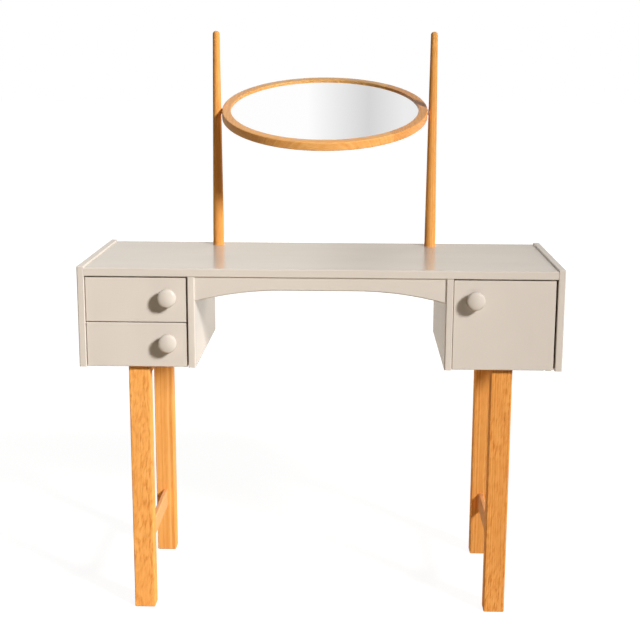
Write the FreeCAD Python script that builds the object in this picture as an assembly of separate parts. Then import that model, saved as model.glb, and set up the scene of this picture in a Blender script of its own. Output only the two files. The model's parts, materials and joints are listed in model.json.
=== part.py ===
import FreeCAD, Part
import math
import os

# A dressing table: a painted cabinet with two drawers, a door and an arched kneehole stands on two oak
# leg frames, and a round mirror tilts between two tapered posts. Millimetres, +Z up, front towards -Y.
# Sizes are worked out with y = 0 at the front edges of the sides. The finished part is then moved so
# that its origin lies on the floor, under the middle of its box.

V = FreeCAD.Vector

# Cabinet boards
width = 1000.0                  # over both side panels
depth = 380.0                   # side panels, front to back
panel_height = 212.0            # side panels, top to bottom
side_thickness = 15.0
partition_thickness = 15.0
kneehole_width = 515.0          # between the two partitions
top_thickness = 17.5
top_drop = 3.5                  # top surface below the upper edges of the sides
base_thickness = 13.0           # bottom boards of the pedestals
back_thickness = 5.0
back_inset = 8.0                # thin backs in from the rear edges
tongue_depth = 5.0              # how far a board is let into its neighbour
tongue_thickness = 7.0
tongue_stop = 12.0              # tongues end short of the front and rear edges
outer_edge = 3.0                # rounding of the edges that are handled
inner_edge = 2.0                # rounding of the other edges, bevel of the apron

# Kneehole rails
apron_thickness = 16.0
apron_recess = 3.5
apron_height = 27.5             # at the middle
apron_flat = 150.0              # straight middle stretch of the lower edge
apron_radius = 700.0            # curves that fall from it to the partitions
rear_rail_thickness = 26.0
rear_rail_height = 60.0

# Leg frames
leg_length = 543.0
leg_width = 44.0                # across the table
leg_depth = 36.0
leg_setback = 18.0              # front legs behind the front edges of the sides
leg_edge = 2.6
leg_foot_edge = 2.5
top_rail_thickness = 22.0
top_rail_height = 38.0
stretcher_thickness = 11.0
stretcher_height = 40.0
stretcher_top = 154.5           # above the floor
stretcher_edge = 3.0
tenon_length = 20.0
tenon_shoulder = 6.0            # cut away above and below each tenon
tenon_cheek = 2.0               # cut away from each face of a tenon
frame_screw_radius = 2.5
frame_screw_head_radius = 4.5
frame_screw_head = 3.0
frame_screw_grip = 20.0         # wood of the top rail under each screw head
frame_screw_bite = 9.0          # length in the bottom board
frame_screw_spacing = 150.0     # between the two screws of a frame

# Mirror posts
post_inset = 14.5               # axes in from the faces of the partitions
post_setback = 38.0             # axes in front of the rear edge
post_height = 480.0             # above the top surface
post_base_radius = 12.6
post_tip_radius = 7.7
post_tip_round = 7.0
post_tenon_radius = 8.0
post_tenon_depth = 40.0         # in the rear rail

# Mirror
pivot_height = 303.5            # above the top surface
mirror_tilt = 16.0              # at rest, in degrees from lying flat, with the front edge low
mirror_gap = 2.6                # between the ring and each post
ring_width = 19.8               # seen from the front
ring_depth = 18.7
ring_edge = 2.2                 # rounding outside
ring_inner_edge = 1.2
ring_joint = 41.0               # glue lines, in degrees from the front and rear middle
glass_recess = 3.8              # glass behind the face of the ring
glass_thickness = 4.0
glass_clearance = 0.6
backing_thickness = 3.0
rebate_width = 7.0              # step that the glass lies on
backing_pin_count = 8
backing_pin_radius = 0.8
backing_pin_length = 14.0
backing_pin_bite = 8.0          # length in the ring
pivot_radius = 3.0
pivot_bite = 9.5                # length in the ring
pivot_reach = 11.0              # length in the post
pivot_end_gap = 0.5
washer_radius = 6.0
washer_seat = 0.4               # flat cut on the ring under each washer
washer_clearance = 0.3

# Drawers, and the gaps that they share with the door
gap_left = 1.0
gap_right = 2.7
gap_above = 2.5
gap_between = 1.6               # from the upper to the lower drawer front
gap_below = 0.4                 # lower edges of the fronts above those of the sides
front_thickness = 16.0
front_recess = 4.5              # fronts behind the front edges of the sides
front_edge = 1.8
box_side_thickness = 11.0
box_back_thickness = 10.0
box_bottom_thickness = 4.0
box_bottom_rise = 7.0           # drawer bottom above the lower edges of the drawer sides
box_groove = 4.0                # drawer bottom let into the sides and the front
box_gap = 3.5                   # drawer sides to the cabinet walls
box_rise = 16.2                 # drawer sides above the lower edge of their front
box_top_drop = 12.0             # drawer sides below its upper edge
box_back_drop = 6.0             # drawer back below the drawer sides
box_rear_gap = 8.0              # closed drawer to the thin back
runner_height = 14.0
runner_groove = 6.0             # depth of the groove in each drawer side
run_clearance = 0.3
runner_stop_gap = 0.5           # closed drawer front to the ends of its runners

# Knobs
knob_radius = 19.6
knob_length = 27.0
knob_neck_radius = 9.0
knob_neck_length = 9.0
knob_under_round = 6.0
knob_face_round = 7.0
knob_crown_radius = 45.0
drawer_knob_inset = 38.0        # from the right-hand edge of the drawer front
door_knob_inset = 44.0          # from the left-hand edge of the door
knob_drop = 40.0                # from the upper edge
knob_screw_radius = 2.0
knob_screw_head_radius = 4.0
knob_screw_head = 2.4
knob_screw_bite = 13.0          # length in the knob
knob_bore_spare = 1.0

# Door hinges and catch
hinge_inset = 10.0              # pivot from the right-hand edge of the door
hinge_front = 6.0               # pivot behind the front face of the door
hinge_pin_radius = 2.5
hinge_pin_length = 9.0          # length in the bush
hinge_plate_thickness = 1.2
hinge_plate_margin = 6.0        # plate past the pivot on three sides
hinge_plate_grip = 24.0         # plate under the bottom board
hinge_plate_gap = 0.4           # lower plate to the notch that the door has above it
hinge_notch_play = 3.5          # notch past the left-hand edge of the plate
bush_radius = 4.0
bush_length = 11.0
swing_clearance = 0.9           # behind the corner of the door as it swings
small_screw_radius = 1.6
small_screw_head_radius = 3.2
small_screw_head = 1.5
small_screw_length = 8.0
small_screw_spacing = 12.0
strike_width = 30.0
strike_height = 12.0
strike_thickness = 1.6
catch_inset = 12.0              # catch from the partition
catch_height = 18.0
catch_depth = 14.0
catch_gap = 0.4                 # closed door's strike plate to the catch
catch_flange_depth = 12.0
catch_flange_thickness = 3.0

# Fits
running_clearance = 0.05        # pins that turn
press_clearance = 0.02          # round pieces that are driven or glued in

# Places worked out from the sizes
side_outer = width / 2
side_inner = side_outer - side_thickness
partition_inner = kneehole_width / 2
partition_outer = partition_inner + partition_thickness
bay_middle = (partition_outer + side_inner) / 2
cabinet_bottom = leg_length
cabinet_top = cabinet_bottom + panel_height
top_surface = cabinet_top - top_drop
top_underside = top_surface - top_thickness
base_top = cabinet_bottom + base_thickness
back_face = depth - back_inset - back_thickness
front_rear = front_recess + front_thickness
hinge_x = side_inner - gap_right - hinge_inset
hinge_y = front_recess + hinge_front
corner_swing = math.hypot(hinge_inset, front_thickness - hinge_front)
base_front = hinge_y + corner_swing + swing_clearance
post_x = partition_inner - post_inset
post_y = depth - post_setback
post_taper = (post_base_radius - post_tip_radius) / post_height
post_pivot_radius = post_base_radius - post_taper * pivot_height
ring_radius = post_x - post_pivot_radius - mirror_gap
pivot_end = ring_radius + mirror_gap + pivot_reach
door_limits = (cabinet_bottom + gap_below, top_underside - gap_above)
hinge_limits = (cabinet_bottom + hinge_plate_thickness + hinge_plate_gap, door_limits[1])
front_height = (door_limits[1] - door_limits[0] - gap_between) / 2
drawer_bottoms = {"lower": door_limits[0], "upper": door_limits[1] - front_height}
touch = 1e-6
pieces = {}


def board(x, y, z):
    """A board between two limits on each axis."""
    return Part.makeBox(x[1] - x[0], y[1] - y[0], z[1] - z[0], V(x[0], y[0], z[0]))


def about(middle, size):
    """The two limits of a size laid evenly about a middle."""
    return (middle - size / 2, middle + size / 2)


def rod(radius, start, end):
    """A round rod between two points."""
    return Part.makeCylinder(radius, (end - start).Length, start, end - start)


def join(*solids):
    """Several touching shapes of one piece as one solid."""
    whole = solids[0].fuse(list(solids[1:])).removeSplitter()
    return whole.Solids[0]


def let_in(piece, *others):
    """A piece with the housings, holes and grooves that other pieces sit in."""
    return piece.cut(list(others)).Solids[0]


def mirrored(solid):
    """The same piece on the other side of the table."""
    return solid.mirror(V(0, 0, 0), V(1, 0, 0))


def edge_axis(edge):
    """The axis that a straight edge runs along."""
    run = edge.Vertexes[-1].Point - edge.Vertexes[0].Point
    return max(zip((abs(run.x), abs(run.y), abs(run.z)), "XYZ"))[1]


def ease(solid, radius, axes, **planes):
    """Round the edges of a board that run along the given axes and lie in all of the given planes."""
    def chosen(edge):
        return edge_axis(edge) in axes and all(
            abs(getattr(corner, axis) - place) < touch
            for axis, place in planes.items() for corner in edge.Vertexes
        )
    return solid.makeFillet(radius, [edge for edge in solid.Edges if chosen(edge)])


def outline(*corners):
    """A closed face in the XZ plane through corners (x, z, rounding), its round corners as arcs."""
    points = [V(x, 0, z) for x, z, rounding in corners]
    curves = []
    ends = []
    for i, (x, z, rounding) in enumerate(corners):
        to_last = (points[i - 1] - points[i]).normalize()
        to_next = (points[(i + 1) % len(points)] - points[i]).normalize()
        if rounding == 0:
            ends.append((points[i], points[i]))
            continue
        half_angle = to_last.getAngle(to_next) / 2
        reach = rounding / math.tan(half_angle)
        inwards = (to_last + to_next).normalize()
        middle = points[i] + inwards * (rounding / math.sin(half_angle) - rounding)
        ends.append((points[i] + to_last * reach, points[i] + to_next * reach))
        curves.append(Part.Arc(ends[i][0], middle, ends[i][1]).toShape())
    for i in range(len(ends)):
        start, end = ends[i - 1][1], ends[i][0]
        if start.distanceToPoint(end) > touch:
            curves.append(Part.LineSegment(start, end).toShape())
    return Part.Face(Part.Wire(Part.__sortEdges__(curves)))


def turned(face, angle=360):
    """A face in the XZ plane turned about the Z axis."""
    return face.revolve(V(0, 0, 0), V(0, 0, 1), angle)


def pan_screw(seat, way, radius, length, head_radius, head):
    """A screw with a flat round head that seats at a point, its shank running the given way."""
    return join(rod(head_radius, seat - way * head, seat), rod(radius, seat, seat + way * length))


def small_screw(seat, way):
    """A countersunk screw, its head flush at a point."""
    head = Part.makeCone(small_screw_head_radius, small_screw_radius, small_screw_head, seat, way)
    shank_start = seat + way * small_screw_head
    return join(head, rod(small_screw_radius, shank_start, seat + way * small_screw_length))


def make_posts():
    """Two tapered round posts with tenons through the top into the rear rail, bored for the pivots."""
    tip = top_surface + post_height
    foot = top_underside - post_tenon_depth
    post = turned(outline(
        (0, foot, 0),
        (post_tenon_radius, foot, 0),
        (post_tenon_radius, top_surface, 0),
        (post_base_radius, top_surface, 0),
        (post_tip_radius, tip, post_tip_round),
        (0, tip, 0),
    ))
    post.translate(V(post_x, post_y, 0))
    pivot_z = top_surface + pivot_height
    bore_start = V(post_x - post_base_radius, post_y, pivot_z)
    bore_end = V(pivot_end + pivot_end_gap, post_y, pivot_z)
    post = let_in(post, rod(pivot_radius + running_clearance, bore_start, bore_end))
    pieces["right_post"] = post
    pieces["left_post"] = mirrored(post)


def post_holes():
    """The holes that the tenons of both posts sit in."""
    foot = top_underside - post_tenon_depth
    radius = post_tenon_radius + press_clearance
    return [rod(radius, V(x, post_y, foot), V(x, post_y, top_surface)) for x in (-post_x, post_x)]


def make_cabinet():
    """Sides, top, partitions, bottom boards, thin backs and the two kneehole rails."""
    top = board((-side_inner, side_inner), (0, depth), (top_underside, top_surface))
    top = ease(top, outer_edge, "X", Y=0, Z=top_surface)
    top = ease(top, inner_edge, "X", Y=0, Z=top_underside)
    top = ease(top, inner_edge, "X", Y=depth)
    tongue_reach = side_inner + tongue_depth
    tongue = board(
        (-tongue_reach, tongue_reach),
        (tongue_stop, depth - tongue_stop),
        about(top_underside + top_thickness / 2, tongue_thickness),
    )
    top = let_in(join(top, tongue), *post_holes())

    bay = (partition_outer, side_inner)
    housed_bay = (partition_outer - tongue_depth, side_inner + tongue_depth)
    base = join(
        board(bay, (base_front, back_face), (cabinet_bottom, base_top)),
        board(housed_bay, (base_front + tongue_stop, back_face), (base_top - tongue_thickness, base_top)),
    )
    back = board(housed_bay, (back_face, back_face + back_thickness), (cabinet_bottom, top_underside))

    side = board((side_inner, side_outer), (0, depth), (cabinet_bottom, cabinet_top))
    side = ease(side, outer_edge, "Z", Y=0, X=side_outer)
    side = ease(side, outer_edge, "Y", Z=cabinet_top, X=side_outer)
    side = ease(side, inner_edge, "Z", Y=0, X=side_inner)
    partition = board((partition_inner, partition_outer), (0, depth), (cabinet_bottom, top_underside))
    partition = ease(partition, outer_edge, "Z", Y=0, X=partition_inner)
    partition = ease(partition, inner_edge, "Z", Y=0, X=partition_outer)

    right_pieces = {
        "side": let_in(side, top, base, back),
        "partition": let_in(partition, base, back),
        "base": base,
        "back": back,
    }
    for name, piece in right_pieces.items():
        pieces["right_" + name] = piece
        pieces["left_" + name] = mirrored(piece)
    pieces["top"] = top

    rear_rail = board(
        (-partition_inner, partition_inner),
        about(post_y, rear_rail_thickness),
        (top_underside - rear_rail_height, top_underside),
    )
    pieces["rear_rail"] = let_in(rear_rail, *post_holes())
    pieces["apron"] = make_apron()


def make_apron():
    """Front rail of the kneehole: its lower edge is straight in the middle and falls in two arcs."""
    flat = apron_flat / 2
    middle_z = top_underside - apron_height
    centre_z = middle_z - apron_radius
    turn = math.asin((partition_inner - flat) / apron_radius)

    def on_arc(angle):
        return V(flat + apron_radius * math.sin(angle), 0, centre_z + apron_radius * math.cos(angle))

    def left_of(point):
        return V(-point.x, point.y, point.z)

    start, half, end = on_arc(0), on_arc(turn / 2), on_arc(turn)
    upper = V(partition_inner, 0, top_underside)
    edges = [
        Part.LineSegment(left_of(upper), upper).toShape(),
        Part.LineSegment(upper, end).toShape(),
        Part.Arc(end, half, start).toShape(),
        Part.LineSegment(start, left_of(start)).toShape(),
        Part.Arc(left_of(start), left_of(half), left_of(end)).toShape(),
        Part.LineSegment(left_of(end), left_of(upper)).toShape(),
    ]
    apron = Part.Face(Part.Wire(edges)).extrude(V(0, apron_thickness, 0))
    lower_edges = [
        edge for edge in apron.Edges
        if all(corner.Y < touch and corner.Z < top_underside - touch for corner in edge.Vertexes)
    ]
    apron = apron.makeChamfer(inner_edge, lower_edges)
    apron.translate(V(0, apron_recess, 0))
    return apron


def frame_rail(thickness, lower, upper):
    """A rail between a front and a rear leg, with a tenon in each."""
    start = leg_setback + leg_depth
    end = depth - leg_depth
    rail = board(about(bay_middle, thickness), (start, end), (lower, upper))
    tenons = board(
        about(bay_middle, thickness - 2 * tenon_cheek),
        (start - tenon_length, end + tenon_length),
        (lower + tenon_shoulder, upper - tenon_shoulder),
    )
    return join(rail, tenons)


def make_leg_frames():
    """Two legs, a top rail and a low stretcher under each pedestal, screwed up into its bottom board."""
    top_rail = frame_rail(top_rail_thickness, leg_length - top_rail_height, leg_length)
    stretcher_bottom = stretcher_top - stretcher_height
    stretcher = frame_rail(stretcher_thickness, stretcher_bottom, stretcher_top)
    for z in (stretcher_bottom, stretcher_top):
        stretcher = ease(stretcher, stretcher_edge, "Y", Z=z)
    frame_middle = (leg_setback + depth) / 2
    head_z = leg_length - frame_screw_grip
    upwards = V(0, 0, 1)
    screws = []
    for y in about(frame_middle, frame_screw_spacing):
        seat = V(bay_middle, y, head_z)
        screws.append(pan_screw(
            seat, upwards, frame_screw_radius, frame_screw_grip + frame_screw_bite,
            frame_screw_head_radius, frame_screw_head,
        ))
        counterbore = rod(frame_screw_head_radius, V(bay_middle, y, leg_length - top_rail_height), seat)
        top_rail = let_in(top_rail, counterbore, screws[-1])
    for name, y in (("front", leg_setback), ("rear", depth - leg_depth)):
        leg = board(about(bay_middle, leg_width), (y, y + leg_depth), (0, leg_length))
        leg = ease(leg, leg_edge, "Z")
        leg = leg.makeFillet(leg_foot_edge, [edge for edge in leg.Edges if edge.BoundBox.ZMax < touch])
        leg = let_in(leg, top_rail, stretcher)
        pieces["right_" + name + "_leg"] = leg
        pieces["left_" + name + "_leg"] = mirrored(leg)
    pieces["right_top_rail"] = top_rail
    pieces["left_top_rail"] = mirrored(top_rail)
    pieces["right_stretcher"] = stretcher
    pieces["left_stretcher"] = mirrored(stretcher)
    pieces["right_base"] = let_in(pieces["right_base"], *screws)
    pieces["left_base"] = mirrored(pieces["right_base"])
    pieces["frame_screws"] = Part.makeCompound(screws + [mirrored(screw) for screw in screws])


def make_knob(name, x, z):
    """A turned knob, crowned in front, and the screw that holds it from behind its front."""
    crown_centre = knob_length - knob_crown_radius
    round_r = knob_radius - knob_face_round
    round_t = crown_centre + math.sqrt((knob_crown_radius - knob_face_round) ** 2 - round_r ** 2)
    lean = math.atan2(round_r, round_t - crown_centre)
    under_r = knob_radius - knob_under_round
    under_t = knob_neck_length + knob_under_round
    slant = math.sqrt(0.5)

    def on_round(angle):
        return V(round_r + knob_face_round * math.cos(angle), 0, round_t + knob_face_round * math.sin(angle))

    def on_crown(angle):
        return V(knob_crown_radius * math.sin(angle), 0, crown_centre + knob_crown_radius * math.cos(angle))

    round_turn = math.pi / 2 - lean
    under_middle = V(under_r + knob_under_round * slant, 0, under_t - knob_under_round * slant)
    corners = [
        V(0, 0, 0),
        V(knob_neck_radius, 0, 0),
        V(knob_neck_radius, 0, knob_neck_length),
        V(under_r, 0, knob_neck_length),
    ]
    edges = [Part.LineSegment(a, b).toShape() for a, b in zip(corners, corners[1:])]
    edges.append(Part.Arc(corners[-1], under_middle, V(knob_radius, 0, under_t)).toShape())
    edges.append(Part.LineSegment(V(knob_radius, 0, under_t), on_round(0)).toShape())
    edges.append(Part.Arc(on_round(0), on_round(round_turn / 2), on_round(round_turn)).toShape())
    edges.append(Part.Arc(on_round(round_turn), on_crown(lean / 2), on_crown(0)).toShape())
    edges.append(Part.LineSegment(on_crown(0), corners[0]).toShape())
    knob = turned(Part.Face(Part.Wire(edges)))
    knob.rotate(V(0, 0, 0), V(1, 0, 0), 90)
    knob.translate(V(x, front_recess, z))
    forwards = V(0, -1, 0)
    seat = V(x, front_rear, z)
    screw = pan_screw(
        seat, forwards, knob_screw_radius, front_thickness + knob_screw_bite,
        knob_screw_head_radius, knob_screw_head,
    )
    bore = rod(
        knob_screw_radius + press_clearance, seat,
        seat + forwards * (front_thickness + knob_screw_bite + knob_bore_spare),
    )
    pieces[name + "_knob"] = let_in(knob, bore)
    pieces[name + "_knob_screw"] = screw
    return bore


def front_board(x, z):
    """A drawer front or door, its front edges slightly rounded."""
    return ease(board(x, (front_recess, front_rear), z), front_edge, "XZ", Y=front_recess)


def make_drawer(level):
    """One drawer with its knob, and the two runners that it slides on."""
    name = level + "_drawer"
    front_bottom = drawer_bottoms[level]
    front_top = front_bottom + front_height
    front_x = (gap_left - side_inner, -partition_outer - gap_right)
    front = front_board(front_x, (front_bottom, front_top))
    bore = make_knob(name, front_x[1] - drawer_knob_inset, front_top - knob_drop)

    left, right = box_gap - side_inner, -partition_outer - box_gap
    box_bottom = front_bottom + box_rise
    box_top = front_top - box_top_drop
    box_rear = back_face - box_rear_gap
    length = (front_rear, box_rear)
    height = (box_bottom, box_top)
    middle = (box_bottom + box_top) / 2
    floor_bottom = box_bottom + box_bottom_rise
    floor_top = floor_bottom + box_bottom_thickness
    inner_left, inner_right = left + box_side_thickness, right - box_side_thickness
    floor = board(
        (inner_left - box_groove, inner_right + box_groove),
        (front_rear - box_groove, box_rear),
        (floor_bottom, floor_top),
    )
    groove_z = about(middle, runner_height + 2 * run_clearance)
    left_groove = board((left, left + runner_groove), length, groove_z)
    right_groove = board((right - runner_groove, right), length, groove_z)
    pieces[name + "_front"] = let_in(front, floor, bore)
    pieces[name + "_left_side"] = let_in(board((left, inner_left), length, height), floor, left_groove)
    pieces[name + "_right_side"] = let_in(board((inner_right, right), length, height), floor, right_groove)
    pieces[name + "_back"] = board(
        (inner_left, inner_right),
        (box_rear - box_back_thickness, box_rear),
        (floor_top, box_top - box_back_drop),
    )
    pieces[name + "_bottom"] = floor

    runner_width = box_gap + runner_groove - run_clearance
    runner_y = (front_rear + runner_stop_gap, back_face)
    runner_z = about(middle, runner_height)
    pieces[level + "_outer_runner"] = board((-side_inner, runner_width - side_inner), runner_y, runner_z)
    pieces[level + "_inner_runner"] = board(
        (-partition_outer - runner_width, -partition_outer), runner_y, runner_z)


def hinge_plate(face, way):
    """A flat plate set flush in the cabinet at a height, its pivot pin pointing the given way."""
    pin_foot = V(hinge_x, hinge_y, face)
    plate = board(
        about(hinge_x, 2 * hinge_plate_margin),
        (hinge_y - hinge_plate_margin, base_front + hinge_plate_grip),
        sorted((face, face - way.z * hinge_plate_thickness)),
    )
    return join(plate, rod(hinge_pin_radius, pin_foot, V(hinge_x, hinge_y, pin_end(way))))


def pin_end(way):
    """The height where a hinge pin ends inside the door."""
    edge = hinge_limits[0] if way.z > 0 else hinge_limits[1]
    return edge + way.z * hinge_pin_length


def make_door():
    """The door with its knob, the bushes that it turns in, and the strike plate of its catch."""
    door_x = (partition_outer + gap_left, side_inner - gap_right)
    door = front_board(door_x, door_limits)
    bore = make_knob("door", door_x[0] + door_knob_inset, door_limits[1] - knob_drop)
    notch_x = (hinge_x - hinge_plate_margin - hinge_notch_play, door_x[1])
    notch = board(notch_x, (front_recess, front_rear), (door_limits[0], hinge_limits[0]))

    bushes = []
    holes = []
    for edge, way in zip(hinge_limits, (1, -1)):
        start = V(hinge_x, hinge_y, edge)
        end = V(hinge_x, hinge_y, edge + way * bush_length)
        holes.append(rod(bush_radius + press_clearance, start, end))
        bushes.append(let_in(rod(bush_radius, start, end), rod(hinge_pin_radius + running_clearance, start, end)))

    strike_x = (partition_outer + catch_inset, partition_outer + catch_inset + strike_width)
    strike_middle = V(sum(strike_x) / 2, front_rear, top_underside - catch_height / 2)
    strike = board(
        strike_x,
        (front_rear, front_rear + strike_thickness),
        about(strike_middle.z, strike_height),
    )
    strike_screw = small_screw(strike_middle + V(0, strike_thickness, 0), V(0, -1, 0))
    pieces["door"] = let_in(door, notch, bore, strike_screw, *holes)
    pieces["hinge_bushes"] = Part.makeCompound(bushes)
    pieces["strike_plate"] = let_in(strike, strike_screw)
    pieces["strike_screw"] = strike_screw


def make_door_fittings():
    """Hinge plates in the top and the right-hand bottom board, the catch, and their screws."""
    up, down = V(0, 0, 1), V(0, 0, -1)
    lower_plate = hinge_plate(cabinet_bottom + hinge_plate_thickness, up)
    upper_plate = hinge_plate(top_underside, down)
    plate_middle = base_front + hinge_plate_grip / 2
    screw_places = [V(hinge_x, y, 0) for y in about(plate_middle, small_screw_spacing)]
    lower_screws = [small_screw(place + V(0, 0, cabinet_bottom), up) for place in screw_places]
    upper_screws = [small_screw(place + V(0, 0, top_underside), up) for place in screw_places]

    catch_x = (partition_outer + catch_inset, partition_outer + catch_inset + strike_width)
    catch_front = front_rear + strike_thickness + catch_gap
    catch_rear = catch_front + catch_depth
    flange_rear = catch_rear + catch_flange_depth
    flange_z = top_underside - catch_flange_thickness
    catch = join(
        board(catch_x, (catch_front, catch_rear), (top_underside - catch_height, top_underside)),
        board(catch_x, (catch_rear, flange_rear), (flange_z, top_underside)),
    )
    catch_screws = [
        small_screw(V(x, (catch_rear + flange_rear) / 2, flange_z), up)
        for x in about(sum(catch_x) / 2, small_screw_spacing)
    ]

    pieces["lower_hinge_plate"] = let_in(lower_plate, *lower_screws)
    pieces["upper_hinge_plate"] = let_in(upper_plate, *upper_screws)
    pieces["door_catch"] = let_in(catch, *catch_screws)
    pieces["small_screws"] = Part.makeCompound(lower_screws + upper_screws + catch_screws)
    pieces["right_base"] = let_in(pieces["right_base"], lower_plate, *lower_screws)
    pieces["top"] = let_in(pieces["top"], upper_plate, *upper_screws, *catch_screws)


def make_mirror():
    """Ring of four glued segments, glass, backing and pivots, made lying flat and then tilted."""
    face, rear = ring_depth / 2, -ring_depth / 2
    inner = ring_radius - ring_width
    rebate = inner + rebate_width
    shoulder = face - glass_recess
    section = outline(
        (inner, shoulder, 0),
        (inner, face, ring_inner_edge),
        (ring_radius, face, ring_edge),
        (ring_radius, rear, ring_edge),
        (rebate, rear, 0),
        (rebate, shoulder, 0),
    )
    backing_rear = shoulder - glass_thickness - backing_thickness
    disc_radius = rebate - glass_clearance

    pin_z = backing_rear - backing_pin_radius
    backing_pins = []
    for i in range(backing_pin_count):
        angle = 2 * math.pi * (i + 0.5) / backing_pin_count
        out = V(math.cos(angle), math.sin(angle), 0)
        start = out * (rebate + backing_pin_bite) + V(0, 0, pin_z)
        backing_pins.append(rod(backing_pin_radius, start, start - out * backing_pin_length))

    seat = ring_radius - washer_seat
    washer_end = ring_radius + mirror_gap - washer_clearance
    pivot_pins = []
    washers = []
    pivot_cuts = []
    for way in (V(1, 0, 0), V(-1, 0, 0)):
        foot = way * (ring_radius - pivot_bite)
        pivot_pins.append(rod(pivot_radius, foot, way * pivot_end))
        hole = rod(pivot_radius + press_clearance, foot, way * washer_end)
        washers.append(let_in(rod(washer_radius, way * seat, way * washer_end), hole))
        pivot_cuts += [hole, rod(washer_radius + washer_clearance, way * seat, way * washer_end)]

    ring = {
        "right": (0, 90 - ring_joint),
        "back": (90, ring_joint),
        "left": (180, 90 - ring_joint),
        "front": (270, ring_joint),
    }
    for name, (middle, half_span) in ring.items():
        segment = turned(section, 2 * half_span)
        segment.rotate(V(0, 0, 0), V(0, 0, 1), middle - half_span)
        pieces["mirror_ring_" + name] = let_in(segment, *backing_pins, *pivot_cuts)
    glass_rear = shoulder - glass_thickness
    pieces["mirror_glass"] = rod(disc_radius, V(0, 0, glass_rear), V(0, 0, shoulder))
    pieces["mirror_backing"] = rod(disc_radius, V(0, 0, backing_rear), V(0, 0, glass_rear))
    pieces["backing_pins"] = Part.makeCompound(backing_pins)
    pieces["pivot_pins"] = Part.makeCompound(pivot_pins)
    pieces["pivot_washers"] = Part.makeCompound(washers)
    mirror_names = ["mirror_ring_" + name for name in ring]
    mirror_names += ["mirror_glass", "mirror_backing", "backing_pins", "pivot_pins", "pivot_washers"]
    for name in mirror_names:
        pieces[name].rotate(V(0, 0, 0), V(1, 0, 0), mirror_tilt)
        pieces[name].translate(V(0, post_y, top_surface + pivot_height))


def write_pieces():
    """Move the part's origin to the floor under the middle of its box, and write each piece."""
    whole = FreeCAD.BoundBox()
    for piece in pieces.values():
        whole.add(piece.optimalBoundingBox(False, False))
    os.makedirs("parts", exist_ok=True)
    for name, piece in pieces.items():
        piece.translate(V(-whole.Center.x, -whole.Center.y, -whole.ZMin))
        piece.exportStep("parts/" + name + ".step")


make_cabinet()
make_leg_frames()
make_posts()
make_mirror()
for drawer_level in drawer_bottoms:
    make_drawer(drawer_level)
make_door()
make_door_fittings()
write_pieces()
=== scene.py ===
import json
import math

import bpy
from mathutils import Matrix, Vector

# Looks of a dressing table: greige satin paint on the cabinet, honey oak on the legs, posts and mirror
# ring, all from node materials in the part's own metres. One studio lamp to the upper right does most
# of the lighting, so shadows are deep and warm.

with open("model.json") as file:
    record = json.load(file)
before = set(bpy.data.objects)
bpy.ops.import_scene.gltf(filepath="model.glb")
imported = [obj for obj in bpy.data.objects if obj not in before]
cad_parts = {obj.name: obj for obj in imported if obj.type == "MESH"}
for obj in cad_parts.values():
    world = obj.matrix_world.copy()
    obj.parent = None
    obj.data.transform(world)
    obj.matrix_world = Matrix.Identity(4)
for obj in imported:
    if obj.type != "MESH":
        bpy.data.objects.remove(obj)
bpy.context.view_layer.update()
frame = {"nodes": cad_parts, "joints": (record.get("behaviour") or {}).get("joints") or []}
scene = bpy.context.scene
scene.view_settings.view_transform = "Standard"

# Mirror: the middle of its pivot line, and how far the ring rests from level
MIRROR_CENTRE = next(joint["pos_m"] for joint in frame["joints"] if joint["name"] == "mirror_tilt")
MIRROR_TILT = math.radians(16.0)

WHITE = (1.0, 1.0, 1.0, 1.0)


def srgb(red, green, blue):
    """A colour from 0 to 255 as linear values."""
    def linear(value):
        value /= 255
        return value / 12.92 if value <= 0.04045 else ((value + 0.055) / 1.055) ** 2.4
    return (linear(red), linear(green), linear(blue), 1.0)


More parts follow.
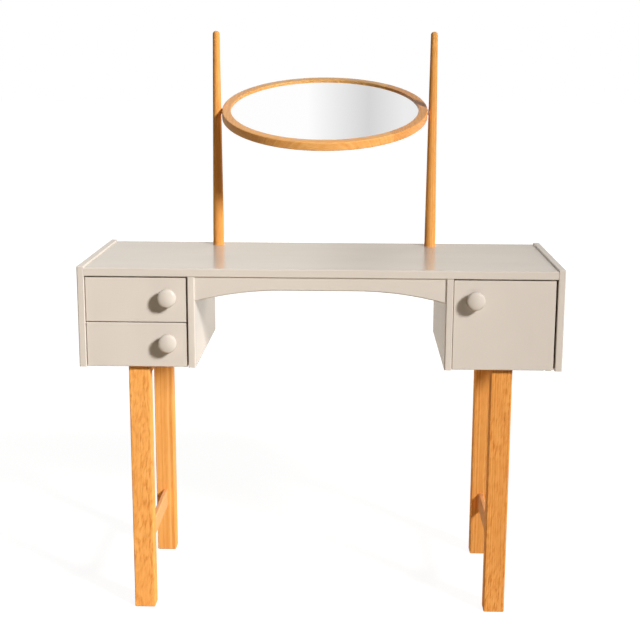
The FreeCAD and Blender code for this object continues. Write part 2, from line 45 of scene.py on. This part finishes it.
class Graph:
    """A node tree, with short calls for the nodes used here."""

    def __init__(self, tree):
        self.tree = tree

    def node(self, kind, settings=None, **inputs):
        made = self.tree.nodes.new(kind)
        for key, value in (settings or {}).items():
            setattr(made, key, value)
        for key, value in inputs.items():
            self.feed(made, key, value)
        return made

    def feed(self, node, key, value):
        """Link a socket to an input, or set the input to a constant."""
        if isinstance(key, str) and key not in node.inputs:
            key = key.replace("_", " ")
        if isinstance(value, bpy.types.NodeSocket):
            self.tree.links.new(value, node.inputs[key])
        else:
            node.inputs[key].default_value = value

    def vector(self, operation, first, second=None, scale=None):
        made = self.node("ShaderNodeVectorMath", {"operation": operation})
        self.feed(made, 0, first)
        if second is not None:
            self.feed(made, 1, second)
        if scale is not None:
            self.feed(made, "Scale", scale)
        return made.outputs["Value" if operation == "LENGTH" else "Vector"]

    def stretch(self, points, axis, along):
        """Points squeezed along one axis, so that a noise on them runs in streaks that way."""
        return self.vector("MULTIPLY", points, tuple(along if axis == each else 1.0 for each in "XYZ"))

    def math(self, operation, first, second=0.0, third=0.0):
        made = self.node("ShaderNodeMath", {"operation": operation})
        for index, value in enumerate((first, second, third)):
            self.feed(made, index, value)
        return made.outputs[0]

    def swing(self, value, amount, onto):
        """Add a noise to a value, as much up as down."""
        return self.math("MULTIPLY_ADD", self.math("SUBTRACT", value, 0.5), amount, onto)

    def weigh(self, first, share, second):
        """A share of one value and the rest of another."""
        return self.math("MULTIPLY_ADD", first, share, self.math("MULTIPLY", second, 1.0 - share))

    def noise(self, points, scale, detail=2.0, roughness=0.5, output="Fac"):
        made = self.node(
            "ShaderNodeTexNoise", Vector=points, Scale=scale, Detail=detail, Roughness=roughness,
        )
        return made.outputs[output]

    def line_noise(self, value, scale, detail=2.0, roughness=0.5):
        made = self.node(
            "ShaderNodeTexNoise", {"noise_dimensions": "1D"},
            W=value, Scale=scale, Detail=detail, Roughness=roughness,
        )
        return made.outputs["Fac"]

    def remap(self, value, low, high, to_low=0.0, to_high=1.0):
        made = self.node("ShaderNodeMapRange", {"clamp": True})
        for index, each in enumerate((value, low, high, to_low, to_high)):
            self.feed(made, index, each)
        return made.outputs[0]

    def ramp(self, value, *stops):
        made = self.node("ShaderNodeValToRGB", Fac=value)
        elements = made.color_ramp.elements
        while len(elements) < len(stops):
            elements.new(0.5)
        for element, (place, colour) in zip(elements, stops):
            element.position = place
            element.color = colour
        return made.outputs["Color"]

    def mix(self, factor, first, second):
        made = self.node("ShaderNodeMix", {"data_type": "RGBA"})
        for index, value in ((0, factor), (6, first), (7, second)):
            self.feed(made, index, value)
        return made.outputs[2]

    def either(self, factor, first, second):
        """One shader or the other."""
        made = self.node("ShaderNodeMixShader", Fac=factor)
        self.feed(made, 1, first)
        self.feed(made, 2, second)
        return made.outputs[0]

    def bump(self, height, distance, strength):
        made = self.node("ShaderNodeBump", Strength=strength, Distance=distance, Height=height)
        return made.outputs["Normal"]

    def axes(self, points):
        """The three coordinates of points, by name."""
        return self.node("ShaderNodeSeparateXYZ", Vector=points).outputs

    def camera_ray(self):
        return self.node("ShaderNodeLightPath").outputs["Is Camera Ray"]

    def seen(self):
        """1 for what is seen straight or in a mirror, and 0 for light on its way to a surface."""
        path = self.node("ShaderNodeLightPath").outputs
        mirrored = self.math("MAXIMUM", path["Is Glossy Ray"], path["Is Transmission Ray"])
        return self.math("MAXIMUM", path["Is Camera Ray"], mirrored)


class Finish(Graph):
    """A material's node tree and its shader."""

    def __init__(self, name):
        self.material = bpy.data.materials.new(name)
        self.material.use_nodes = True
        super().__init__(self.material.node_tree)
        self.shader = self.tree.nodes["Principled BSDF"]

    def points(self):
        return self.node("ShaderNodeTexCoord").outputs["Object"]

    def complete(self, colour, roughness, normal=None, **fixed):
        """Feed the shader, with constants set on its own sockets, and return the material."""
        self.feed(self.shader, "Base Color", colour)
        self.feed(self.shader, "Roughness", roughness)
        if normal is not None:
            self.feed(self.shader, "Normal", normal)
        for key, value in fixed.items():
            self.feed(self.shader, key, value)
        return self.material


# Where most of a noise lies between 0 and 1
NOISE_SPAN = (0.3, 0.7)

PAINT = srgb(218, 208, 198)
PAINT_DARK = srgb(213, 203, 193)
PAINT_ROUGH = 0.22
BRUSH_ROUGH = 0.03
BRUSH_TONE = 0.5
PEEL_HEIGHT = 0.2


def paint(name, axis, streak):
    """Greige satin paint, laid off along one axis: faint brush lines, soft clouds, a fine orange peel."""
    graph = Finish(name)
    points = graph.points()
    brush = graph.noise(graph.stretch(points, axis, along=0.03), scale=150.0, detail=3.0, roughness=0.6)
    cloud = graph.noise(graph.stretch(points, axis, along=0.4), scale=8.0)
    peel = graph.noise(points, scale=800.0)
    tone = graph.swing(brush, BRUSH_TONE * streak, onto=cloud)
    colour = graph.mix(graph.remap(tone, *NOISE_SPAN), PAINT_DARK, PAINT)
    roughness = graph.remap(brush, *NOISE_SPAN, PAINT_ROUGH, PAINT_ROUGH + BRUSH_ROUGH * streak)
    height = graph.math("MULTIPLY_ADD", brush, streak, graph.math("MULTIPLY", peel, PEEL_HEIGHT))
    return graph.complete(colour, roughness, graph.bump(height, distance=0.00003, strength=0.4), IOR=1.5)


def grain_points(graph, axis, offset=(0.0, 0.0, 0.0), tilted=False):
    """Points with the grain along Z, moved so that no two pieces show the same wood."""
    points = graph.points()
    if tilted:
        points = graph.vector("SUBTRACT", points, MIRROR_CENTRE)
        turned = graph.node(
            "ShaderNodeVectorRotate", {"rotation_type": "X_AXIS"}, Vector=points, Angle=-MIRROR_TILT,
        )
        points = turned.outputs["Vector"]
    if axis != "Z":
        parts = graph.axes(points)
        first, second, third = {"X": "YZX", "Y": "ZXY"}[axis]
        swapped = graph.node("ShaderNodeCombineXYZ", X=parts[first], Y=parts[second], Z=parts[third])
        points = swapped.outputs["Vector"]
    return graph.vector("ADD", points, offset)


OAK = (
    (0.0, srgb(190, 108, 45)),
    (0.28, srgb(221, 140, 66)),
    (0.55, srgb(238, 163, 86)),
    (0.8, srgb(249, 178, 98)),
    (1.0, srgb(255, 193, 116)),
)
OAK_TONE = 0.62                 # place among these colours, before anything sways it
# A pale pinkish oak mixed in patches into the stretchers. It is painted light standing in for light
# bounced up from the floor onto them, not wear.
OAK_PAINTED_BOUNCE = srgb(232, 184, 146)
PAINTED_BOUNCE_SWING = 0.3
PITH = (0.11, 0.07, 0.0)        # heart of the tree, off to one side of each piece
FIBRE_TONE = 0.45
FIBRE_ROUGH = 0.08
FIBRE_HEIGHT = 0.4
PATCH_TONE = 0.5
PORE_SPAN = (0.60, 0.70)
PORE_TONE = 0.12
PORE_ROUGH = 0.1
FLECK_LEAN = (0.10, -0.16, 0.0)
FLECK_SPAN = (0.42, 0.70)
FLECK_PATCHES = (0.36, 0.58)
FLECK_LEAST = 0.35


def oak(
    name, axis, offset, figure=0.003, lines=0.5, flecks=0.2, tone=0.0, painted_bounce=0.0, gloss=0.03, rough=0.58,
    tilted=False,
):
    """Lacquered oak: growth rings bent by the figure, fibres, open pores, flecks that lean a little."""
    graph = Finish(name)
    points = grain_points(graph, axis, offset, tilted)
    bend = graph.noise(graph.stretch(points, "Z", along=0.35), scale=26.0, output="Color")
    bend = graph.vector("SUBTRACT", bend, (0.5, 0.5, 0.5))
    bent = graph.vector("ADD", points, graph.vector("SCALE", bend, scale=figure))
    across = graph.vector("ADD", graph.stretch(bent, "Z", along=0.012), PITH)
    rings = graph.line_noise(graph.vector("LENGTH", across), scale=400.0)
    fibres = graph.noise(graph.stretch(points, "Z", along=0.018), scale=520.0, detail=3.0, roughness=0.65)
    pores = graph.noise(graph.stretch(points, "Z", along=0.05), scale=700.0, detail=1.0)
    pores = graph.remap(pores, *PORE_SPAN)
    patches = graph.noise(graph.stretch(points, "Z", along=0.3), scale=20.0)
    leaning = graph.node(
        "ShaderNodeVectorRotate", {"rotation_type": "EULER_XYZ"}, Vector=bent, Rotation=FLECK_LEAN,
    )
    spots = graph.stretch(leaning.outputs["Vector"], "Z", along=0.2)
    spots = graph.remap(graph.noise(spots, scale=240.0, roughness=0.55), *FLECK_SPAN)
    spots = graph.math("MULTIPLY", spots, graph.remap(patches, *FLECK_PATCHES, FLECK_LEAST, 1.0))
    value = graph.swing(rings, lines, onto=OAK_TONE + tone)
    value = graph.swing(fibres, FIBRE_TONE, onto=value)
    value = graph.swing(patches, PATCH_TONE, onto=value)
    value = graph.math("SUBTRACT", value, graph.math("MULTIPLY", spots, flecks))
    value = graph.math("SUBTRACT", value, graph.math("MULTIPLY", pores, PORE_TONE))
    colour = graph.ramp(value, *OAK)
    # Paler patches mixed in: painted light from the floor, not wear
    if painted_bounce:
        colour = graph.mix(graph.swing(patches, PAINTED_BOUNCE_SWING, onto=painted_bounce), colour, OAK_PAINTED_BOUNCE)
    roughness = graph.remap(fibres, *NOISE_SPAN, rough, rough + FIBRE_ROUGH)
    roughness = graph.math("MULTIPLY_ADD", pores, PORE_ROUGH, roughness)
    height = graph.math("SUBTRACT", graph.math("MULTIPLY", fibres, FIBRE_HEIGHT), pores)
    normal = graph.bump(height, distance=0.0001, strength=0.4)
    return graph.complete(colour, roughness, normal, IOR=1.45, Specular_IOR_Level=gloss)


BIRCH = ((0.25, srgb(196, 162, 118)), (0.5, srgb(221, 190, 148)), (0.75, srgb(233, 207, 168)))
HARDBOARD = ((0.3, srgb(84, 57, 36)), (0.55, srgb(121, 86, 57)), (0.75, srgb(148, 111, 77)))
BRASS = ((0.3, srgb(104, 80, 44)), (0.7, srgb(160, 128, 76)))
STEEL = ((0.3, srgb(128, 130, 132)), (0.7, srgb(190, 192, 194)))
NYLON = ((0.3, srgb(205, 199, 187)), (0.7, srgb(219, 214, 203)))


def birch(name, axis):
    """Pale drawer wood with fine straight grain."""
    graph = Finish(name)
    points = grain_points(graph, axis)
    rings = graph.noise(graph.stretch(points, "Z", along=0.03), scale=85.0, detail=3.0, roughness=0.55)
    fibres = graph.noise(graph.stretch(points, "Z", along=0.02), scale=1200.0, roughness=0.6)
    colour = graph.ramp(graph.weigh(fibres, 0.35, rings), *BIRCH)
    roughness = graph.remap(fibres, *NOISE_SPAN, to_low=0.5, to_high=0.6)
    return graph.complete(colour, roughness, graph.bump(fibres, distance=0.0001, strength=0.3), IOR=1.5)


def hardboard():
    """Brown pressed fibre, as on the back of a mirror."""
    graph = Finish("hardboard")
    points = graph.points()
    fibre = graph.noise(points, scale=900.0, detail=3.0, roughness=0.7)
    cloud = graph.noise(points, scale=30.0)
    colour = graph.ramp(graph.weigh(fibre, 0.6, cloud), *HARDBOARD)
    roughness = graph.remap(fibre, *NOISE_SPAN, to_low=0.62, to_high=0.8)
    return graph.complete(colour, roughness, graph.bump(fibre, distance=0.0002, strength=0.5), IOR=1.5)


def metal(name, colours, smooth, rough):
    """Drawn or brushed metal with faint handling marks."""
    graph = Finish(name)
    points = graph.points()
    lines = graph.noise(graph.stretch(points, "Y", along=0.05), scale=2600.0, roughness=0.6)
    marks = graph.noise(points, scale=60.0, detail=3.0, roughness=0.6)
    value = graph.weigh(lines, 0.5, marks)
    colour = graph.ramp(value, *colours)
    roughness = graph.remap(value, *NOISE_SPAN, smooth, rough)
    normal = graph.bump(lines, distance=0.00004, strength=0.4)
    return graph.complete(colour, roughness, normal, Metallic=1.0)


def nylon():
    """Off-white nylon with a fine moulded texture."""
    graph = Finish("nylon")
    points = graph.points()
    grit = graph.noise(points, scale=1600.0)
    cloud = graph.noise(points, scale=45.0)
    colour = graph.ramp(cloud, *NYLON)
    roughness = graph.remap(grit, *NOISE_SPAN, to_low=0.45, to_high=0.6)
    return graph.complete(colour, roughness, graph.bump(grit, distance=0.00008, strength=0.4), IOR=1.5)


SILVER = (0.985, 0.985, 0.985, 1.0)
SILVER_DULL = (0.90, 0.90, 0.89, 1.0)
HAZE_REACH = (0.2, 0.225)       # from the glass's middle
HAZE_SPAN = (0.45, 0.75)
HAZE_ROUGH = 0.006


def silvered_glass():
    """A mirror, clear in the middle, with a trace of haze towards its rim."""
    graph = Finish("mirror_silver")
    points = graph.points()
    reach = graph.vector("LENGTH", graph.vector("SUBTRACT", points, MIRROR_CENTRE))
    haze = graph.noise(points, scale=35.0, detail=3.0, roughness=0.6)
    rim = graph.math("MULTIPLY", graph.remap(reach, *HAZE_REACH), haze)
    colour = graph.mix(rim, SILVER, SILVER_DULL)
    roughness = graph.remap(haze, *HAZE_SPAN, to_high=HAZE_ROUGH)
    return graph.complete(colour, roughness, Metallic=1.0)


def dress(material, *names):
    """Give a finish to the named nodes."""
    for name in names:
        mesh = frame["nodes"][name].data
        mesh.materials.clear()
        mesh.materials.append(material)


def nodes_ending(*endings):
    """The names of the nodes with these endings."""
    return [name for name in frame["nodes"] if name.endswith(endings)]


def dress_paint():
    """Paint runs along each board, and up the fronts. The hinge plates are painted with the cabinet."""
    dress(paint("paint_across", "X", streak=0.3), "top", "apron", "rear_rail", "left_back", "right_back")
    dress(paint("paint_front", "Z", streak=0.25), "upper_drawer_front", "lower_drawer_front", "door")
    dress(
        paint("paint_deep", "Y", streak=0.2),
        "left_side", "right_side", *nodes_ending("partition", "base", "hinge_plate"),
    )
    dress(paint("paint_knob", "Y", streak=0.1), *nodes_ending("knob"))


UPRIGHTS = {
    "left_front_leg": dict(offset=(0.31, 0.12, 0.05), figure=0.020, lines=0.60, flecks=0.55, tone=0.15),
    "left_rear_leg": dict(offset=(0.02, 0.53, 0.40), figure=0.0015, lines=1.20, flecks=0.10, tone=0.18),
    "right_front_leg": dict(offset=(0.74, 0.26, 0.90), figure=0.008, lines=0.80, flecks=0.50, tone=0.02),
    "right_rear_leg": dict(offset=(0.55, 0.81, 0.22), figure=0.004, lines=0.90, flecks=0.20, tone=0.10),
    "left_post": dict(offset=(0.17, 0.33, 0.61), figure=0.002, lines=0.70, flecks=0.15, tone=0.06),
    "right_post": dict(offset=(0.91, 0.47, 0.13), figure=0.002, lines=0.70, flecks=0.25, tone=0.22),
}
# How much painted floor light each rail gets. Only the stretchers near the floor are paled, in patches.
RAIL_PAINTED_BOUNCE = {"left_top_rail": 0.0, "right_top_rail": 0.0, "left_stretcher": 0.42, "right_stretcher": 0.42}
# Grain direction and tone of each ring segment. The back segment's pale tone is mostly painted light,
# standing in for the lamp light that the mirror throws onto the back of the ring. The right segment's dark
# tone is partly its own wood and partly painted shade on its rim.
RING_GRAIN_TONE_AND_PAINTED_LIGHT = {"front": ("X", 0.24), "back": ("X", 0.6), "left": ("Y", 0.26), "right": ("Y", 0.04)}


def dress_oak():
    """Each leg, post, rail and ring segment is cut from wood of its own."""
    for name, look in UPRIGHTS.items():
        dress(oak("oak_" + name, "Z", **look), name)
    for count, (name, painted_bounce) in enumerate(RAIL_PAINTED_BOUNCE.items()):
        offset = (0.2 * count, 0.37 * count, 0.1)
        dress(oak("oak_" + name, "Y", offset, painted_bounce=painted_bounce), name)
    # The back and right tones carry painted light and painted shade as well as the wood's own tone
    for count, (side, (axis, tone)) in enumerate(RING_GRAIN_TONE_AND_PAINTED_LIGHT.items()):
        offset = (0.41 + 0.13 * count, 0.29 * count, 0.23 + 0.31 * count)
        name = "mirror_ring_" + side
        wood = oak("oak_" + name, axis, offset, lines=0.6, tone=tone, gloss=0.4, rough=0.3, tilted=True)
        dress(wood, name)


def dress_rest():
    """Drawer boxes, the mirror's glass and backing, and the small metal and nylon pieces."""
    dress(
        birch("birch_sides", "Y"),
        *nodes_ending("runner", "drawer_left_side", "drawer_right_side"),
    )
    dress(birch("birch_across", "X"), *nodes_ending("drawer_back", "drawer_bottom"))
    dress(hardboard(), "mirror_backing")
    dress(silvered_glass(), "mirror_glass")
    dress(nylon(), "pivot_washers", "door_catch")
    dress(metal("brass", BRASS, smooth=0.36, rough=0.5), "hinge_bushes")
    dress(
        metal("steel", STEEL, smooth=0.26, rough=0.4),
        "strike_plate", *nodes_ending("screw", "screws", "pins"),
    )


FLOOR_HALF = 30.0
FLOOR_GLOW = 0.93                               # under the table, for the shadow to show
FLOOR_GLOW_REACH = (1.0, 2.6)
FLOOR_PALE = ((0.14, 0.14, 0.14, 1.0), (0.16, 0.16, 0.16, 1.0))
FLOOR_BOUNCE = ((0.60, 0.50, 0.37, 1.0), (0.25, 0.205, 0.145, 1.0))
FLOOR_BOUNCE_REACH = (0.4, 1.1)
FLOOR_MIRRORED = ((0.50, 0.45, 0.38, 1.0), (1.0, 0.98, 0.94, 1.0))
FLOOR_MIRRORED_SPAN = (-0.2, 0.3)               # from the left-hand to the right-hand colour


def make_floor():
    """A pale floor that the camera sees as white, with the table's soft shadow near its feet."""
    corners = [(x * FLOOR_HALF, y * FLOOR_HALF, 0.0) for x, y in ((-1, -1), (1, -1), (1, 1), (-1, 1))]
    mesh = bpy.data.meshes.new("floor")
    mesh.from_pydata(corners, [], [(0, 1, 2, 3)])
    floor = bpy.data.objects.new("floor", mesh)
    scene.collection.objects.link(floor)
    graph = Finish("floor_white")
    graph.tree.nodes.remove(graph.shader)
    points = graph.points()
    reach = graph.vector("LENGTH", points)
    glow = graph.remap(reach, *FLOOR_GLOW_REACH, FLOOR_GLOW, 1.0)
    mirrored = graph.mix(graph.remap(graph.axes(points)["X"], *FLOOR_MIRRORED_SPAN), *FLOOR_MIRRORED)
    hue = graph.mix(graph.camera_ray(), mirrored, WHITE)
    pale = graph.mix(graph.noise(points, scale=0.8), *FLOOR_PALE)
    white = graph.node("ShaderNodeAddShader")
    graph.feed(white, 0, graph.node("ShaderNodeBsdfDiffuse", Color=pale).outputs[0])
    graph.feed(white, 1, graph.node("ShaderNodeEmission", Color=hue, Strength=glow).outputs[0])
    bounce = graph.mix(graph.remap(reach, *FLOOR_BOUNCE_REACH), *FLOOR_BOUNCE)
    plain = graph.node("ShaderNodeBsdfDiffuse", Color=bounce)
    surface = graph.either(graph.seen(), plain.outputs[0], white.outputs[0])
    graph.feed(graph.tree.nodes["Material Output"], "Surface", surface)
    mesh.materials.append(graph.material)


AMBIENT = (1.0, 0.9, 0.76, 1.0)
AMBIENT_STRENGTH = 0.06
DARK_ROOM = (0.14, 0.115, 0.085, 1.0)
PALE_CEILING = (0.62, 0.60, 0.57, 1.0)
BACKDROP_WARM = (1.0, 0.955, 0.87, 1.0)
BACKDROP_GREYS = ((0.41, 255), (0.53, 214), (0.6, 237), (0.75, 240), (1.0, 222))
# Parts of a direction between which one of these gives way to the next
SWEEP_SPAN = (-0.2, 0.2)
WARM_TO_WHITE = (0.25, 0.5)
ROOM_TO_BACKDROP = (-0.15, 0.35)
ROOM_TO_CEILING = (0.7, 0.9)


def make_world():
    """White to the camera. Reflections show a grey sweep behind, a dark room in front, a pale ceiling."""
    world = bpy.data.worlds.new("studio")
    scene.world = world
    world.use_nodes = True
    graph = Graph(world.node_tree)
    graph.tree.nodes.clear()
    way = graph.axes(graph.node("ShaderNodeTexCoord").outputs["Generated"])
    stops = [(place, srgb(grey, grey, grey)) for place, grey in BACKDROP_GREYS]
    sweep = graph.ramp(graph.remap(way["X"], *SWEEP_SPAN), *stops)
    warmth = graph.mix(graph.remap(way["Z"], *WARM_TO_WHITE), BACKDROP_WARM, WHITE)
    sweep = graph.vector("MULTIPLY", sweep, warmth)
    room = graph.mix(graph.remap(way["Y"], *ROOM_TO_BACKDROP), DARK_ROOM, sweep)
    room = graph.mix(graph.remap(way["Z"], *ROOM_TO_CEILING), room, PALE_CEILING)
    view = graph.node("ShaderNodeBackground", Color=graph.mix(graph.camera_ray(), room, WHITE))
    low = graph.node("ShaderNodeBackground", Color=AMBIENT, Strength=AMBIENT_STRENGTH)
    surface = graph.either(graph.seen(), low.outputs[0], view.outputs[0])
    graph.feed(graph.node("ShaderNodeOutputWorld"), "Surface", surface)


def lamp(name, place, target, size, power, colour, spread=180.0, only_gleam=False):
    """A round area lamp, out of the camera's sight. It lights the surfaces, or only gleams on them."""
    data = bpy.data.lights.new(name, "AREA")
    data.shape = "DISK"
    data.size = size
    data.energy = power
    data.color = colour
    data.spread = math.radians(spread)
    made = bpy.data.objects.new(name, data)
    made.location = place
    made.rotation_euler = (Vector(target) - Vector(place)).to_track_quat("-Z", "Y").to_euler()
    made.visible_camera = False
    made.visible_diffuse = not only_gleam
    made.visible_glossy = only_gleam
    scene.collection.objects.link(made)


TABLE_MIDDLE = (0.0, 0.0, 0.6)
LEFT_SIDE_LOW = (-0.5, -0.08, 0.43)
KEY_PLACE = Vector((3.7, -4.05, 3.64))
KEY_MIDDLE = Vector((0.0, -0.1, 0.65))
KEY_TURN = math.radians(38.0)


def make_lights():
    """A strong key lamp in front, a gleam from the same place, weak lamps at the left and two behind.

    The key lamp is turned past the table, so that its left-hand side gets a little more light.
    """
    aim = KEY_PLACE + Matrix.Rotation(KEY_TURN, 3, "Z") @ (KEY_MIDDLE - KEY_PLACE)
    key = dict(place=KEY_PLACE, target=aim, size=1.2, colour=(1.0, 1.0, 0.99), spread=90.0)
    lamp("key", power=330.0, **key)
    lamp("gleam", power=130.0, only_gleam=True, **key)
    lamp("side", (-3.2, 0.6, 1.4), TABLE_MIDDLE, size=1.6, power=2.5, colour=(1.0, 0.93, 0.84))
    lamp(
        "left", (-3.2, -0.05, 0.5), LEFT_SIDE_LOW,
        size=0.3, power=0.45, colour=(1.0, 0.97, 0.92), spread=26.0,
    )
    lamp("back", (3.4, 3.6, 1.5), TABLE_MIDDLE, size=1.4, power=155.0, colour=(1.0, 0.96, 0.9))
    lamp("rear", (-0.4, 5.5, 1.3), TABLE_MIDDLE, size=2.0, power=90.0, colour=(1.0, 0.97, 0.92))


# Camera, from the photograph's perspective: metres, radians, and millimetres for lens and sensor
CAMERA_PLACE = Vector((0.06468, -2.79303, 1.17739))
CAMERA_YAW = -0.02556
CAMERA_PITCH = 0.2073
CAMERA_ROLL = 0.00439
CAMERA_LENS = 70.56
CAMERA_SENSOR = 36.0


def make_camera():
    """The photograph's viewpoint, for a square picture."""
    data = bpy.data.cameras.new("camera")
    data.sensor_width = CAMERA_SENSOR
    data.lens = CAMERA_LENS
    made = bpy.data.objects.new("camera", data)
    forwards = Vector((
        math.sin(CAMERA_YAW) * math.cos(CAMERA_PITCH),
        math.cos(CAMERA_YAW) * math.cos(CAMERA_PITCH),
        -math.sin(CAMERA_PITCH),
    ))
    level = Vector((math.cos(CAMERA_YAW), -math.sin(CAMERA_YAW), 0.0))
    upright = level.cross(forwards)
    right = math.cos(CAMERA_ROLL) * level + math.sin(CAMERA_ROLL) * upright
    up = math.cos(CAMERA_ROLL) * upright - math.sin(CAMERA_ROLL) * level
    turn = Matrix((right, up, -forwards)).transposed()
    made.matrix_world = Matrix.Translation(CAMERA_PLACE) @ turn.to_4x4()
    scene.collection.objects.link(made)
    scene.camera = made


dress_paint()
dress_oak()
dress_rest()
make_floor()
make_world()
make_lights()
make_camera()
